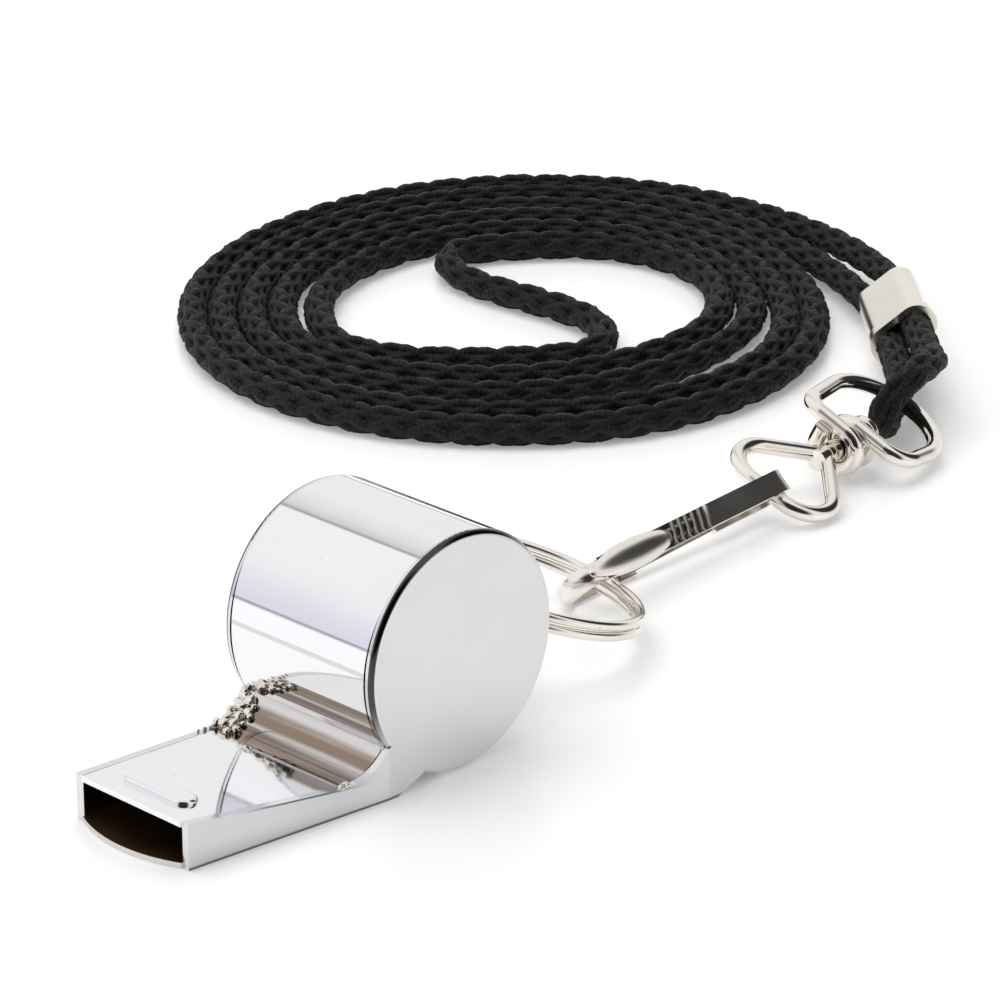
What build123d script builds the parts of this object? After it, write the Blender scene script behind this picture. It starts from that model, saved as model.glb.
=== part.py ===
from build123d import *
import os
from math import atan2, cos, degrees, hypot, pi, radians, sin, sqrt, tan

os.makedirs("parts", exist_ok=True)

# Whistle body, folded from sheet brass and lying with its window to the table.
barrel_d = 22.0
body_width = 18.6
sheet = 0.5
side_sheet = 0.8
edge_round = 0.6
plate_length = 22.2
window_reach = 8.0
lip_reach = 2.0
mouth_height = 4.3
waist_height = 2.55
waist_reach = 13.8
waist_inner_reach = 9.2
saddle_top = 4.79
saddle_bite = 0.7
notch_reach = 5.0
lip_bulge = 1.4
bend_reach = 9.0
toe_angle = 6.0
bite_ridge_length = 8.2
bite_ridge_width = 2.5
bite_ridge_height = 0.45
bite_ridge_inset = 3.4
bite_ridge_round = 0.35
overrun = 2.0
quarter = 90.0
full_turn = 360.0
mid_share = 0.5
run_share = 0.45
sample_step = 1.0
near_run = 12.0

# Cork ball in the barrel.
pea_d = 12.0
pea_play = 0.15

# Lug on the back of the barrel.
lug_reach = 3.1
lug_height = 8.0
lug_outer_r = 2.9
lug_hole_d = 3.6
lug_sheet = 1.0

# Split ring, two turns of wire.
ring_r = 11.3
ring_wire_d = 0.94
ring_pitch = 1.04
ring_heading = 34.2
ring_dip = 10.9
ring_roll = 16.2
ring_hook_turn = -27.5
ring_ramp_start = 60.0
ring_ramp_sweep = 34.0
ring_end_gap = 5.0

# Snap hook, stamped from strip and folded to an eye.
hook_hang = 0.02
hook_heading = 5.3
hook_climb = 0.2
hook_roll = 45.0
hook_reach = 26.8
hook_gap_r = 2.5
hook_nose_set = -1.2
hook_strip = 0.65
hook_width = 2.3
hook_nose_width = 2.1
hook_dome = 0.15
hook_tip_length = 8.95
hook_eye_r = 1.7
hook_leg_length = 8.0
hook_dome_length = 13.0
spoon_length = 12.8
spoon_width = 3.0
spoon_depth = 1.0
spoon_x = 3.6
grip_count = 6
grip_start = 9.8
grip_pitch = 1.05
grip_width = 0.5
grip_slant = 25.0
gate_sheet = 0.35
gate_width = 1.7
gate_clear = 0.2
gate_lap = 2.4

# Swivel: a pear-shaped wire loop with a headed post, and a wire ring wound round the post.
swivel_heading = 9.5
swivel_climb = 0.8
loop_roll = 25.0
loop_wire_d = 1.7
loop_half = 5.3
loop_shoulder = 4.6
loop_neck = 10.2
loop_neck_half = 0.75
loop_corner_r = 3.3
loop_shoulder_r = 3.4
post_d = 2.2
post_start = 9.2
post_end = 17.3
head_d = 3.8
head_length = 1.2
head_round = 0.4
wrap_play = 0.15
wrap_pitch = 1.95
wrap_start = 11.5
wrap_gap = 0.22
ring_plane_roll = 27.0
cord_ring_half = 6.4
cord_ring_reach = 26.6
cord_ring_curl = 5.2
cord_ring_foot = 6.1
cord_ring_far_r = 6.2
cord_ring_foot_r = 2.4
cord_ring_curl_r = 1.9
cord_ring_drop = 0.3
tail_length = 1.6

# Braided neck cord, laid flat in a double spiral and held in a crimped ferrule.
cord_d = 3.0
coil_x = 103.05
coil_y = 65.74
coil_turn = -42.0
ferrule_length = 13.5
ferrule_wall = 0.35
ferrule_rim = 1.6
ferrule_rim_lift = 0.35
ferrule_clear = 0.02
outer_lift = 2.25
coil_stretch = 4.0
ferrule_floor = 0.4
ferrule_seat = 4.0
outer_crossings = [41.36, -36.1, 33.0, -28.8, 26.0, -20.0]
inner_crossings = [38.62, -32.3, 29.5, -25.3, 22.5]
inner_end_r = 17.0
outer_end_r = 12.6
inner_fold_r = 5.5
outer_fold_r = 5.0
inner_fold_u = -4.4
bight_turn = 45.0
loop_route = [
    (41.36, -25.6, 4.5),
    (41.2, -33.0, 7.3),
    (36.6, -39.8, 7.1),
    (34.4, -38.0, 1.7),
    (38.2, -33.0, 1.8),
    (38.62, -25.0, 2.25),
]
loop_grab = 0.0

barrel_r = barrel_d / 2
half_width = body_width / 2
barrel_x = plate_length / 2 + window_reach
mouth_x = -plate_length / 2
bend_x = barrel_x - bend_reach
waist_x = barrel_x - waist_reach
inner_wall_r = barrel_r - sheet
back_x = barrel_x + barrel_r + overrun
front_x = mouth_x - overrun


# Two arcs that meet smoothly between two points with given directions.
def biarc(p0, t0, p1, t1):
    v = p1 - p0
    a = 2 * (1 - t0.dot(t1))
    b = 2 * v.dot(t0 + t1)
    c = -v.dot(v)
    d = (-b + sqrt(b * b - 4 * a * c)) / (2 * a)
    middle = (p0 + t0 * d + p1 - t1 * d) / 2
    first = TangentArc(p0, middle, tangent=t0)
    second = TangentArc(middle, p1, tangent=t1 * -1, tangent_from_first=False)
    return [first, second]


def tube(edges, diameter):
    path = Wire(edges)
    return sweep((path ^ 0) * Circle(diameter / 2), path=path)


# Half a turn from one point to another, bulging the given way.
def half_turn(p, q, bulge):
    p = Vector(p)
    q = Vector(q)
    middle = (p + q) / 2
    return ThreePointArc(p, middle + Vector(bulge) * ((q - p).length / 2), q)


# Height of the upper plate's outer face at a given x.
plate_slope = (mouth_height - waist_height) / (waist_x - mouth_x)


def plate_top(x):
    return mouth_height - plate_slope * (x - mouth_x)


# The saddle arc leaves the plate smoothly at the waist and ends on the barrel circle.
plate_fall = degrees(atan2(mouth_height - waist_height, waist_x - mouth_x))
fall = radians(plate_fall)
corner_x = barrel_x - sqrt(barrel_r ** 2 - (barrel_r - saddle_top) ** 2)
corner_z = saddle_top
saddle_run = corner_x - waist_x
saddle_rise = corner_z - waist_height
saddle_sag = saddle_run * sin(fall) + saddle_rise * cos(fall)
saddle_radius = hypot(saddle_run, saddle_rise) ** 2 / (2 * saddle_sag)
saddle_cx = waist_x + saddle_radius * sin(fall)
saddle_cz = waist_height + saddle_radius * cos(fall)
print("saddle radius", round(saddle_radius, 3), "corner", round(corner_x - barrel_x, 3), round(corner_z, 3))


def saddle_point(share):
    start = atan2(waist_height - saddle_cz, waist_x - saddle_cx)
    end = atan2(corner_z - saddle_cz, corner_x - saddle_cx)
    turn = start + (end - start) * share
    return saddle_cx + saddle_radius * cos(turn), saddle_cz + saddle_radius * sin(turn)


def on_side(x, z):
    return (x, 0, z)


def side_face(edges):
    return make_face(Wire(edges))


saddle_mid = saddle_point(mid_share)
notch_x = barrel_x - notch_reach
notch_z = barrel_r - sqrt(barrel_r ** 2 - notch_reach ** 2)
tongue_edges = [
    Line(on_side(mouth_x, 0), on_side(mouth_x, mouth_height)),
    Line(on_side(mouth_x, mouth_height), on_side(waist_x, waist_height)),
    ThreePointArc(on_side(waist_x, waist_height), on_side(*saddle_mid), on_side(corner_x, corner_z)),
    Line(on_side(corner_x, corner_z), on_side(barrel_x, barrel_r)),
    Line(on_side(barrel_x, barrel_r), on_side(notch_x, notch_z)),
    Line(on_side(notch_x, notch_z), on_side(barrel_x - window_reach, 0)),
    Line(on_side(barrel_x - window_reach, 0), on_side(mouth_x, 0)),
]
tongue_face = side_face(tongue_edges)
barrel_axis = Pos(barrel_x, 0, barrel_r) * Rot(X=quarter)
disc = Pos(0, half_width - side_sheet / 2, 0) * barrel_axis * Cylinder(barrel_r, side_sheet)
rim = [e for e in disc.edges().filter_by(GeomType.CIRCLE) if e.center().Y > half_width - edge_round]
disc = fillet(rim, edge_round)
tongue = extrude(tongue_face, side_sheet / 2, dir=(0, 1, 0), both=True)
tongue = Pos(0, half_width - side_sheet / 2, 0) * tongue
to_left = (Align.MAX, Align.CENTER, Align.CENTER)
from_base = (Align.CENTER, Align.CENTER, Align.MIN)
from_front = (Align.CENTER, Align.MIN, Align.CENTER)
front_half = Box(bend_x - front_x, body_width + overrun, barrel_d * 2, align=to_left)
front_half = Pos(bend_x, 0, 0) * front_half
tongue_back = tongue - front_half
tongue_front = tongue & front_half
tongue_front = tongue_front.rotate(Axis((bend_x, half_width, 0), (0, 0, 1)), toe_angle)
left_side_plate = disc + tongue_back + tongue_front


# Half the clear width between the side plates at a given x.
def clear_half(x):
    toe = radians(toe_angle)
    reach = max(bend_x + side_sheet * sin(toe) - x, 0)
    start = half_width - side_sheet * cos(toe)
    return min(start - reach * tan(toe), half_width - side_sheet)


toe_x = bend_x + side_sheet * sin(radians(toe_angle))
toe_half = half_width - side_sheet * cos(radians(toe_angle))
plan_points = [
    (back_x, half_width - side_sheet),
    (toe_x, half_width - side_sheet),
    (toe_x, toe_half),
    (front_x, clear_half(front_x)),
]
plan_points = plan_points + [(x, -y) for x, y in reversed(plan_points)]
plan_face = make_face(Polyline(plan_points, close=True))
clear_space = extrude(plan_face, barrel_d * 2, dir=(0, 0, 1), both=True)

# Barrel band: the round wall with the saddle that flares down on to the plate.
lip_turn = degrees(atan2(-sqrt(barrel_r ** 2 - lip_reach ** 2), -lip_reach))
corner_turn = degrees(atan2(corner_z - barrel_r, corner_x - barrel_x))


def ring_sector(outer, inner, start, end):
    def at(radius, turn):
        return on_side(barrel_x + radius * cos(radians(turn)), barrel_r + radius * sin(radians(turn)))
    middle = (start + end) / 2
    return side_face([
        ThreePointArc(at(outer, start), at(outer, middle), at(outer, end)),
        Line(at(outer, end), at(inner, end)),
        ThreePointArc(at(inner, end), at(inner, middle), at(inner, start)),
        Line(at(inner, start), at(outer, start)),
    ])


wall_face = ring_sector(barrel_r, inner_wall_r, lip_turn, corner_turn + full_turn)
saddle_start = degrees(atan2(waist_height - saddle_cz, waist_x - saddle_cx))
saddle_end = degrees(atan2(corner_z - saddle_cz, corner_x - saddle_cx))
saddle_end = saddle_end + degrees(saddle_bite / saddle_radius)


def saddle_at(radius, turn):
    return on_side(saddle_cx + radius * cos(radians(turn)), saddle_cz + radius * sin(radians(turn)))


saddle_outer = saddle_radius + sheet
saddle_mean = (saddle_start + saddle_end) / 2
saddle_face = side_face([
    ThreePointArc(saddle_at(saddle_radius, saddle_start), saddle_at(saddle_radius, saddle_mean),
                  saddle_at(saddle_radius, saddle_end)),
    Line(saddle_at(saddle_radius, saddle_end), saddle_at(saddle_outer, saddle_end)),
    ThreePointArc(saddle_at(saddle_outer, saddle_end), saddle_at(saddle_outer, saddle_mean),
                  saddle_at(saddle_outer, saddle_start)),
    Line(saddle_at(saddle_outer, saddle_start), saddle_at(saddle_radius, saddle_start)),
])
under_plate = make_face(
    Polyline(on_side(front_x, plate_top(front_x)), on_side(back_x, plate_top(back_x)),
             on_side(back_x, -barrel_d), on_side(front_x, -barrel_d), close=True))


def across_body(face):
    return extrude(face, half_width, dir=(0, 1, 0), both=True)


barrel_band = across_body(wall_face) + (across_body(saddle_face) - across_body(under_plate))
barrel_band = barrel_band & clear_space
barrel_band = barrel_band - barrel_axis * Cylinder(inner_wall_r, body_width)

# Mouthpiece plate with the pressed bite ridge.
plate_end_x = barrel_x - waist_inner_reach
plate_face = make_face(
    Polyline(on_side(mouth_x, mouth_height), on_side(plate_end_x, plate_top(plate_end_x)),
             on_side(plate_end_x, plate_top(plate_end_x) - sheet),
             on_side(mouth_x, mouth_height - sheet), close=True))
mouthpiece_plate = across_body(plate_face) & clear_space
ridge_x = mouth_x + bite_ridge_inset
ridge_plane = Pos(ridge_x, 0, plate_top(ridge_x)) * Rot(Y=plate_fall) * Rot(Z=quarter)
ridge = extrude(SlotOverall(bite_ridge_length, bite_ridge_width), bite_ridge_height)
ridge = fillet(ridge.faces().sort_by(Axis.Z)[-1].edges(), bite_ridge_round)
ridge = ridge + extrude(SlotOverall(bite_ridge_length, bite_ridge_width), -sheet / 2)
mouthpiece_plate = mouthpiece_plate + ridge_plane * ridge

# Windway plate: the flat underside with its bowed lip.
window_x = barrel_x - window_reach
lip_half = clear_half(mouth_x)
window_half = clear_half(window_x)
windway_face = make_face(Wire([
    ThreePointArc((mouth_x, lip_half), (mouth_x - lip_bulge, 0), (mouth_x, -lip_half)),
    Line((mouth_x, -lip_half), (bend_x, -clear_half(bend_x))),
    Line((bend_x, -clear_half(bend_x)), (window_x, -window_half)),
    Line((window_x, -window_half), (window_x, window_half)),
    Line((window_x, window_half), (bend_x, clear_half(bend_x))),
    Line((bend_x, clear_half(bend_x)), (mouth_x, lip_half)),
]))
windway_plate = extrude(windway_face, sheet, dir=(0, 0, 1))

right_side_plate = mirror(left_side_plate, about=Plane.XZ)

# Lug: a tab with a round eye, its foot shaped to the barrel.
lug_x = barrel_x + barrel_r + lug_reach
lug_plane = Pos(lug_x, 0, lug_height) * Rot(X=quarter)
lug_tab = Cylinder(lug_outer_r, lug_sheet)
lug_foot = Box(lug_reach + overrun, lug_outer_r * 2, lug_sheet, align=to_left)
ring_lug = lug_tab + lug_foot
ring_lug = ring_lug - Cylinder(lug_hole_d / 2, lug_sheet + overrun)
ring_lug = lug_plane * ring_lug - barrel_axis * Cylinder(barrel_r, body_width)

# Cork ball on the floor of the barrel.
pea_drop = inner_wall_r - pea_d / 2 - pea_play
cork_pea = Pos(barrel_x, 0, barrel_r - pea_drop) * Sphere(pea_d / 2)

# Split ring.
ring_at = Pos(lug_x, 0, lug_height) * Rot(Z=ring_heading) * Rot(Y=ring_dip) * Rot(X=ring_roll)


def ring_point(turn, height):
    return Vector(ring_r + ring_r * cos(radians(turn)), ring_r * sin(radians(turn)), height)


def ring_tangent(turn):
    return Vector(-sin(radians(turn)), cos(radians(turn)), 0)


def ring_arc(start, end, height):
    middle = (start + end) / 2
    return ThreePointArc(ring_point(start, height), ring_point(middle, height), ring_point(end, height))


low = -ring_pitch / 2
high = ring_pitch / 2
ramp_end = ring_ramp_start + ring_ramp_sweep
lower_start = ramp_end + ring_end_gap - full_turn
upper_end = ring_ramp_start - ring_end_gap + full_turn
half_way = (lower_start + ring_ramp_start) / 2
ring_edges = [
    ring_arc(lower_start, half_way, low),
    ring_arc(half_way, ring_ramp_start, low),
]
ring_edges += biarc(ring_point(ring_ramp_start, low), ring_tangent(ring_ramp_start),
                    ring_point(ramp_end, high), ring_tangent(ramp_end))
half_way = (ramp_end + upper_end) / 2
ring_edges += [
    ring_arc(ramp_end, half_way, high),
    ring_arc(half_way, upper_end, high),
]
split_ring = ring_at * tube(ring_edges, ring_wire_d)

# Hook: strip with a domed nose, slanted grip ridges and a folded eye.
hook_point = (ring_at * Pos(*ring_point(ring_hook_turn, 0))).position
hook_at = Pos(*hook_point) * Pos(0, 0, hook_hang) * Rot(Z=hook_heading)
hook_at = hook_at * Rot(Y=-hook_climb) * Rot(X=-hook_roll)
shank_y = -hook_gap_r
eye_y = shank_y + hook_eye_r
leg_y = eye_y + hook_eye_r
leg_end = hook_reach - hook_leg_length
tip_end = hook_nose_set + hook_tip_length
half_strip = hook_strip / 2
shank_path = Wire([
    Line((hook_nose_set, shank_y), (hook_reach, shank_y)),
    ThreePointArc((hook_reach, shank_y), (hook_reach + hook_eye_r, eye_y), (hook_reach, leg_y)),
    Line((hook_reach, leg_y), (leg_end, leg_y)),
])


def strip_along(start, direction, path, width, thickness):
    plane = Plane(origin=start, x_dir=(0, 0, 1), z_dir=direction)
    return sweep(plane * Rectangle(width, thickness), path=path)


shank = strip_along((hook_nose_set, shank_y, 0), (1, 0, 0), shank_path, hook_width, hook_strip)
nose_path = Wire([
    Line((hook_dome_length, shank_y), (hook_nose_set, shank_y)),
    ThreePointArc((hook_nose_set, shank_y), (hook_nose_set - hook_gap_r, 0), (hook_nose_set, hook_gap_r)),
    Line((hook_nose_set, hook_gap_r), (tip_end, hook_gap_r)),
])
dome_plane = Plane(origin=(hook_dome_length, shank_y, 0), x_dir=(0, 0, 1), z_dir=(-1, 0, 0))
nose_half = hook_nose_width / 2
dome_outline = Wire([
    Line((-nose_half, half_strip), (nose_half, half_strip)),
    Line((nose_half, half_strip), (nose_half, 0)),
    ThreePointArc((nose_half, 0), (0, -half_strip - hook_dome), (-nose_half, 0)),
    Line((-nose_half, 0), (-nose_half, half_strip)),
])
nose = sweep(dome_plane * make_face(dome_outline), path=nose_path)
spoon_stretch = (spoon_length / 2 / spoon_depth, 1, spoon_width / 2 / spoon_depth)
spoon = scale(Sphere(spoon_depth), by=spoon_stretch)
spoon_clear = Box(spoon_length + overrun, spoon_length, spoon_width + overrun, align=from_front)
spoon = Pos(spoon_x, shank_y, 0) * (spoon - spoon_clear)
hook_body = shank + nose + spoon
hook_top = shank_y - half_strip
for k in range(grip_count):
    grip_x = grip_start + grip_pitch * k
    bar = Cylinder(grip_width / 2, hook_width)
    bar = Pos(grip_x, hook_top, 0) * Rot(Y=grip_slant) * bar
    hook_body = hook_body + bar
trim = Pos(hook_reach / 2, 0, 0) * Box(hook_reach * 2, hook_reach, spoon_width)
hook_body = hook_at * (hook_body & trim)

# Spring gate from the folded leg to the inside of the tip.
gate_root_x = leg_end - gate_clear
gate_tip_x = tip_end - gate_lap
gate_tip_y = hook_gap_r - half_strip - gate_sheet / 2 - gate_clear
gate_run = hypot(gate_root_x - gate_tip_x, leg_y - gate_tip_y)
gate_lean = degrees(atan2(leg_y - gate_tip_y, gate_root_x - gate_tip_x))
gate_leaf = Box(gate_run, gate_sheet, gate_width, align=to_left)
gate_local = Pos(gate_root_x, leg_y, 0) * Rot(Z=gate_lean)
spring_gate = hook_at * gate_local * gate_leaf

# Swivel loop with its post and head.
eye_point = (hook_at * Pos(hook_reach, eye_y, 0)).position
swivel_at = Pos(*eye_point) * Rot(Z=swivel_heading) * Rot(Y=-swivel_climb)
loop_at = swivel_at * Rot(X=loop_roll)
loop_points = [
    (loop_neck, -loop_neck_half, 0),
    (loop_shoulder, -loop_half, 0),
    (0, -loop_half, 0),
    (0, loop_half, 0),
    (loop_shoulder, loop_half, 0),
    (loop_neck, loop_neck_half, 0),
]
loop_bends = [loop_shoulder_r, loop_corner_r, loop_corner_r, loop_shoulder_r]
loop_path = FilletPolyline(*loop_points, radius=loop_bends)
loop_tube = tube(loop_path.edges(), loop_wire_d)
post_length = post_end - post_start
turned = Rot(Y=quarter)
post = Pos(post_start, 0, 0) * turned * Cylinder(post_d / 2, post_length, align=from_base)
head = Cylinder(head_d / 2, head_length, align=from_base)
head = fillet(head.edges(), head_round)
head = Pos(post_end, 0, 0) * turned * head
swivel_loop = loop_at * (loop_tube + post + head)

# Cord ring: one wire, wound round the post at both ends.
wire_d = loop_wire_d
wrap_r = post_d / 2 + wrap_play + wire_d / 2
cord_ring_at = swivel_at * Rot(X=ring_plane_roll)
step = wrap_pitch / 2
near_x = wrap_start + wire_d / 2 + step
away_x = near_x + wire_d + wrap_gap
up = (0, 0, 1)
down = (0, 0, -1)


# Quarter turn over the post between its side and its top.
def over_post(x, side, from_side):
    rim = Vector(x, side * wrap_r, 0)
    top = Vector(x, 0, wrap_r)
    slope = radians(quarter / 2)
    middle = Vector(x, side * wrap_r * sin(slope), wrap_r * cos(slope))
    if from_side:
        return ThreePointArc(rim, middle, top)
    return ThreePointArc(top, middle, rim)


ring_points = [
    (near_x, 0, wrap_r),
    (near_x, cord_ring_curl, wrap_r),
    (cord_ring_reach, cord_ring_half, cord_ring_drop),
    (cord_ring_reach, -cord_ring_half, cord_ring_drop),
    (away_x, -cord_ring_foot, wrap_r),
    (away_x, 0, wrap_r),
]
ring_bends = [cord_ring_curl_r, cord_ring_far_r, cord_ring_far_r, cord_ring_foot_r]
ring_run = FilletPolyline(*ring_points, radius=ring_bends)
first_x = near_x - step
last_x = away_x + step
wire_edges = [
    Line((first_x, wrap_r, tail_length), (first_x, wrap_r, 0)),
    half_turn((first_x, wrap_r, 0), (near_x, -wrap_r, 0), down),
    over_post(near_x, -1, True),
]
wire_edges += list(ring_run.edges())
wire_edges += [
    over_post(away_x, 1, False),
    half_turn((away_x, wrap_r, 0), (last_x, -wrap_r, 0), down),
    Line((last_x, -wrap_r, 0), (last_x, -wrap_r, tail_length)),
]
cord_ring = cord_ring_at * tube(wire_edges, wire_d)

# Neck cord: two arms wind inward and meet in a bight at the middle.
coil_at = Pos(coil_x, coil_y, 0) * Rot(Z=coil_turn)
cord_r = cord_d / 2
inner_lift = cord_r + ferrule_wall + ferrule_floor
outer_level = inner_lift + outer_lift
back_v = coil_stretch / 2 - cord_d
front_v = back_v - ferrule_length
side_run = coil_stretch / 2


# One arm: half turns joined by short straight runs along both sides.
def arm(crossings, level):
    levels = [level] + [cord_r] * (len(crossings) - 1)
    edges = []
    for k in range(len(crossings) - 1):
        way = 1 if k % 2 == 0 else -1
        start = (crossings[k], way * side_run, levels[k])
        end = (crossings[k + 1], way * side_run, levels[k + 1])
        edges.append(half_turn(start, end, (0, way, 0)))
        edges.append(Line(end, (crossings[k + 1], -way * side_run, levels[k + 1])))
    return edges


def flat_arc(cu, cv, radius, start, end):
    def at(turn):
        return (cu + radius * cos(radians(turn)), cv + radius * sin(radians(turn)), cord_r)
    return ThreePointArc(at(start), at((start + end) / 2), at(end))


fold = quarter + bight_turn
inner_u = inner_crossings[0]
outer_u = outer_crossings[0]
seat_v = back_v - ferrule_seat
inner_edges = [Line((inner_u, seat_v, inner_lift), (inner_u, side_run, inner_lift))]
inner_edges += arm(inner_crossings, inner_lift)
inner_cu = inner_crossings[-1] - inner_end_r
inner_edges.append(flat_arc(inner_cu, side_run, inner_end_r, 0, quarter))
inner_end_v = side_run + inner_end_r
inner_edges.append(Line((inner_cu, inner_end_v, cord_r), (inner_fold_u, inner_end_v, cord_r)))
inner_fold_v = inner_end_v - inner_fold_r
inner_edges.append(flat_arc(inner_fold_u, inner_fold_v, inner_fold_r, quarter, quarter + fold))
bight_start = inner_edges[-1] @ 1
outer_cu = outer_crossings[-1] + outer_end_r
outer_end_v = -side_run - outer_end_r
outer_fold_v = outer_end_v + outer_fold_r
bight_sum = bight_start.X + bight_start.Y
slant = cos(radians(bight_turn)) + sin(radians(bight_turn))
outer_fold_u = bight_sum - outer_fold_v - outer_fold_r * slant
outer_fold = flat_arc(outer_fold_u, outer_fold_v, outer_fold_r, bight_turn, -quarter)
bight = Line(bight_start, outer_fold @ 0)
outer_edges = [
    outer_fold,
    Line((outer_fold_u, outer_end_v, cord_r), (outer_cu, outer_end_v, cord_r)),
    flat_arc(outer_cu, -side_run, outer_end_r, -quarter, -quarter * 2),
]
for edge in reversed(arm(outer_crossings, outer_level)):
    if edge.geom_type == GeomType.LINE:
        outer_edges.append(Line(edge @ 1, edge @ 0))
    else:
        outer_edges.append(ThreePointArc(edge @ 1, edge @ mid_share, edge @ 0))
outer_edges.append(Line((outer_u, side_run, outer_level), (outer_u, seat_v, outer_level)))
cord_edges = inner_edges + [bight] + outer_edges
neck_cord = coil_at * tube(cord_edges, cord_d)
samples = []
run = 0.0
for edge in cord_edges:
    count = max(int(edge.length / sample_step), 1)
    for k in range(count):
        spot = edge @ (k / count)
        samples.append((run + edge.length * k / count, spot.X, spot.Y, spot.Z))
    run += edge.length
least = min(
    hypot(a[1] - b[1], a[2] - b[2], a[3] - b[3])
    for i, a in enumerate(samples)
    for b in samples[i + 1:]
    if b[0] - a[0] > near_run)
print("neck cord length", round(run, 1), "least gap to itself", round(least - cord_d, 2))
print("cord volume", round(neck_cord.volume, 1), "section by length", round(run * pi * cord_r ** 2, 1))

# Ferrule: an oval tube pressed round both strands, with a turned rim at its front.
ferrule_u = (outer_crossings[0] + inner_crossings[0]) / 2
ferrule_z = (outer_level + inner_lift) / 2
strand_gap = hypot(outer_crossings[0] - inner_crossings[0], outer_lift)
ferrule_roll = degrees(atan2(outer_lift, outer_crossings[0] - inner_crossings[0]))
ferrule_at = Pos(ferrule_u, front_v, ferrule_z) * Rot(Y=-ferrule_roll) * Rot(X=-quarter)
ferrule_inner = cord_d + ferrule_clear * 2
ferrule_outer = cord_d + ferrule_wall * 2
rim_outer = ferrule_outer + ferrule_rim_lift * 2
ferrule = extrude(SlotCenterToCenter(strand_gap, ferrule_outer), ferrule_length)
ferrule = ferrule + extrude(SlotCenterToCenter(strand_gap, rim_outer), ferrule_rim)
ferrule = ferrule - extrude(SlotCenterToCenter(strand_gap, ferrule_inner), ferrule_length)
ferrule = coil_at * ferrule_at * ferrule

# Clip loop: the short bight of cord through the cord ring.
strand_in = (outer_crossings[0], front_v + ferrule_seat, outer_level)
strand_out = (inner_crossings[0], front_v + ferrule_seat, inner_lift)
loop_line = [Vector(p) for p in [strand_in] + loop_route + [strand_out]]


def bend_radii(points):
    radii = []
    for a, b, c in zip(points, points[1:], points[2:]):
        turn = (b - a).get_angle(c - b)
        run = min((b - a).length, (c - b).length)
        radii.append(run_share * run / tan(radians(turn / 2)))
    return radii


clip_bends = bend_radii(loop_line)
print("clip loop radii", [round(r, 2) for r in clip_bends])
clip_path = FilletPolyline(*loop_line, radius=clip_bends)
clip_loop = coil_at * tube(clip_path.edges(), cord_d)

grab_point = (cord_ring_at * Pos(cord_ring_reach, loop_grab, cord_ring_drop)).position
local_grab = (coil_at.inverse() * Pos(*grab_point)).position
print("grab", grab_point, "in coil frame", local_grab)


# Where each joint sits and the line it turns about.
def joint_line(name, place, spot, axis):
    start = (place * Pos(*spot)).position
    end = (place * Pos(*(Vector(spot) + Vector(axis)))).position
    line = end - start
    print("joint", name, [round(c, 4) for c in start], [round(c, 5) for c in line])


joint_line("pea", Pos(barrel_x, 0, barrel_r), (0, 0, 0), (0, 1, 0))
joint_line("ring", ring_at, (0, 0, 0), (0, 1, 0))
joint_line("hook", ring_at, ring_point(ring_hook_turn, 0), ring_tangent(ring_hook_turn))
joint_line("gate", hook_at, (gate_root_x, leg_y, 0), (0, 0, 1))
joint_line("loop", loop_at, (0, 0, 0), (0, 1, 0))
joint_line("swivel", swivel_at, (wrap_start, 0, 0), (1, 0, 0))
joint_line("cord", cord_ring_at, (cord_ring_reach, loop_grab, cord_ring_drop), (0, 1, 0))

pieces = {
    "barrel_band": barrel_band,
    "mouthpiece_plate": mouthpiece_plate,
    "windway_plate": windway_plate,
    "left_side_plate": left_side_plate,
    "right_side_plate": right_side_plate,
    "ring_lug": ring_lug,
    "cork_pea": cork_pea,
    "split_ring": split_ring,
    "hook_body": hook_body,
    "spring_gate": spring_gate,
    "swivel_loop": swivel_loop,
    "cord_ring": cord_ring,
    "ferrule": ferrule,
    "neck_cord": neck_cord,
    "clip_loop": clip_loop,
}
for name, piece in pieces.items():
    box = piece.bounding_box()
    print(name, len(piece.solids()), round(piece.volume, 2), "z", round(box.min.Z, 2), round(box.max.Z, 2))
    export_step(piece, "parts/" + name + ".step")
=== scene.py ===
import math

import bpy
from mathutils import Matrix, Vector


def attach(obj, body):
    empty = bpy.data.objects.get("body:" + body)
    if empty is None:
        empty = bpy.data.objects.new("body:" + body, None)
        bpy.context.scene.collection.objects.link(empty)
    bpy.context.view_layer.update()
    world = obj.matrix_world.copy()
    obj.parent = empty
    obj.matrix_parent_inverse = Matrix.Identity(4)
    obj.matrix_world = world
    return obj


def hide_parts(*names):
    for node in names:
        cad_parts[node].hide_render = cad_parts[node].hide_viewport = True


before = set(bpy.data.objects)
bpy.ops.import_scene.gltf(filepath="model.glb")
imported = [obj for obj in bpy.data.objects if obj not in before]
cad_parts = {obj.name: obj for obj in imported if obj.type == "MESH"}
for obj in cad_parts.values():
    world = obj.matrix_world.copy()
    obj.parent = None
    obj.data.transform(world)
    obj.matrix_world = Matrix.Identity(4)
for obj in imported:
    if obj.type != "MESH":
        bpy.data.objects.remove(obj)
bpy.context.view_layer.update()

scene = bpy.context.scene
collection = scene.collection
millimetre = 0.001
fullTurn = 2 * math.pi
inDegrees = 180 / math.pi
print("whistle frame:", len(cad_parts), "nodes")


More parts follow.
